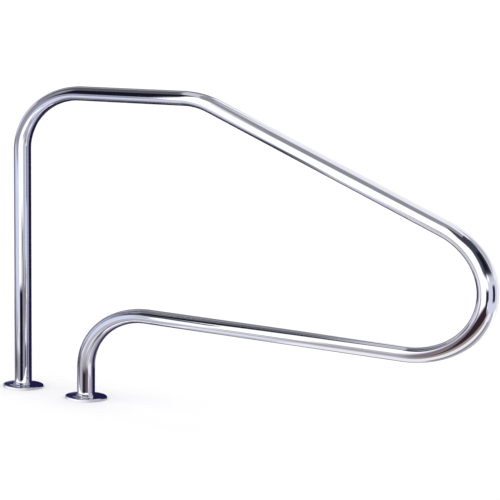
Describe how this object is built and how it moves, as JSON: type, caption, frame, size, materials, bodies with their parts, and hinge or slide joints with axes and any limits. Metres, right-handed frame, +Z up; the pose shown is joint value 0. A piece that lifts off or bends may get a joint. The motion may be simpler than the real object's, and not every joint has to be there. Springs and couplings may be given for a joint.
{
  "type": "pool handrail",
  "caption": "Deck-mounted pool handrail: one bent stainless tube whose two legs stand side by side in wedge anchors under round escutcheons.",
  "frame": {"origin": "on the rear (tall) leg's axis at the deck surface", "axes": "+Z up along the rear leg, +X from the rear leg past the front leg towards the return bend over the water, rail in the plane Y = 0"},
  "size_m": [1.4677, 0.113, 1.179],
  "materials": {
    "polished_stainless": "mirror polished",
    "pressed_stainless": "mirror polished",
    "cast_bronze": "as cast",
    "machined_bronze": "cast and machined",
    "steel_hardware": "plain stainless",
    "brass_screw": "turned"
  },
  "bodies": {
    "anchors": {"rear_socket": "cast_bronze", "front_socket": "cast_bronze", "rear_washer": "steel_hardware", "front_washer": "steel_hardware", "rear_bonding_screw": "brass_screw", "front_bonding_screw": "brass_screw"},
    "rail": {"rail_tube": "polished_stainless"},
    "rear_plate": {"rear_escutcheon": "pressed_stainless"},
    "front_plate": {"front_escutcheon": "pressed_stainless"},
    "rear_wedge_block": {"rear_wedge": "machined_bronze"},
    "front_wedge_block": {"front_wedge": "machined_bronze"},
    "rear_wedge_bolt": {"rear_bolt": "steel_hardware"},
    "front_wedge_bolt": {"front_bolt": "steel_hardware"}
  },
  "joints": [
    {"name": "rail_lift", "type": "slide", "parent": "anchors", "child": "rail", "axis": [0, 0, 1], "range_m": [0, 0.1]},
    {"name": "rear_escutcheon_slide", "type": "slide", "parent": "rail", "child": "rear_plate", "axis": [0, 0, 1], "range_m": [0, 0.82]},
    {"name": "front_escutcheon_slide", "type": "slide", "parent": "rail", "child": "front_plate", "axis": [0, 0, 1], "range_m": [0, 0.09]},
    {"name": "rear_bolt_turn", "type": "hinge", "parent": "anchors", "child": "rear_wedge_bolt", "pos_m": [0, -0.036, 0], "axis": [0, 0, 1], "range_deg": [0, 1440]},
    {"name": "front_bolt_turn", "type": "hinge", "parent": "anchors", "child": "front_wedge_bolt", "pos_m": [0.224, -0.036, 0], "axis": [0, 0, 1], "range_deg": [0, 1440]},
    {"name": "rear_wedge_drop", "type": "slide", "parent": "anchors", "child": "rear_wedge_block", "axis": [0, 0, -1], "range_m": [0, 0.0078]},
    {"name": "front_wedge_drop", "type": "slide", "parent": "anchors", "child": "front_wedge_block", "axis": [0, 0, -1], "range_m": [0, 0.0078]}
  ],
  "couplings": [
    {"joint": "rear_bolt_turn", "follows": "rear_wedge_drop", "rad_per_m": 3215.6},
    {"joint": "front_bolt_turn", "follows": "front_wedge_drop", "rad_per_m": 3215.6}
  ]
}
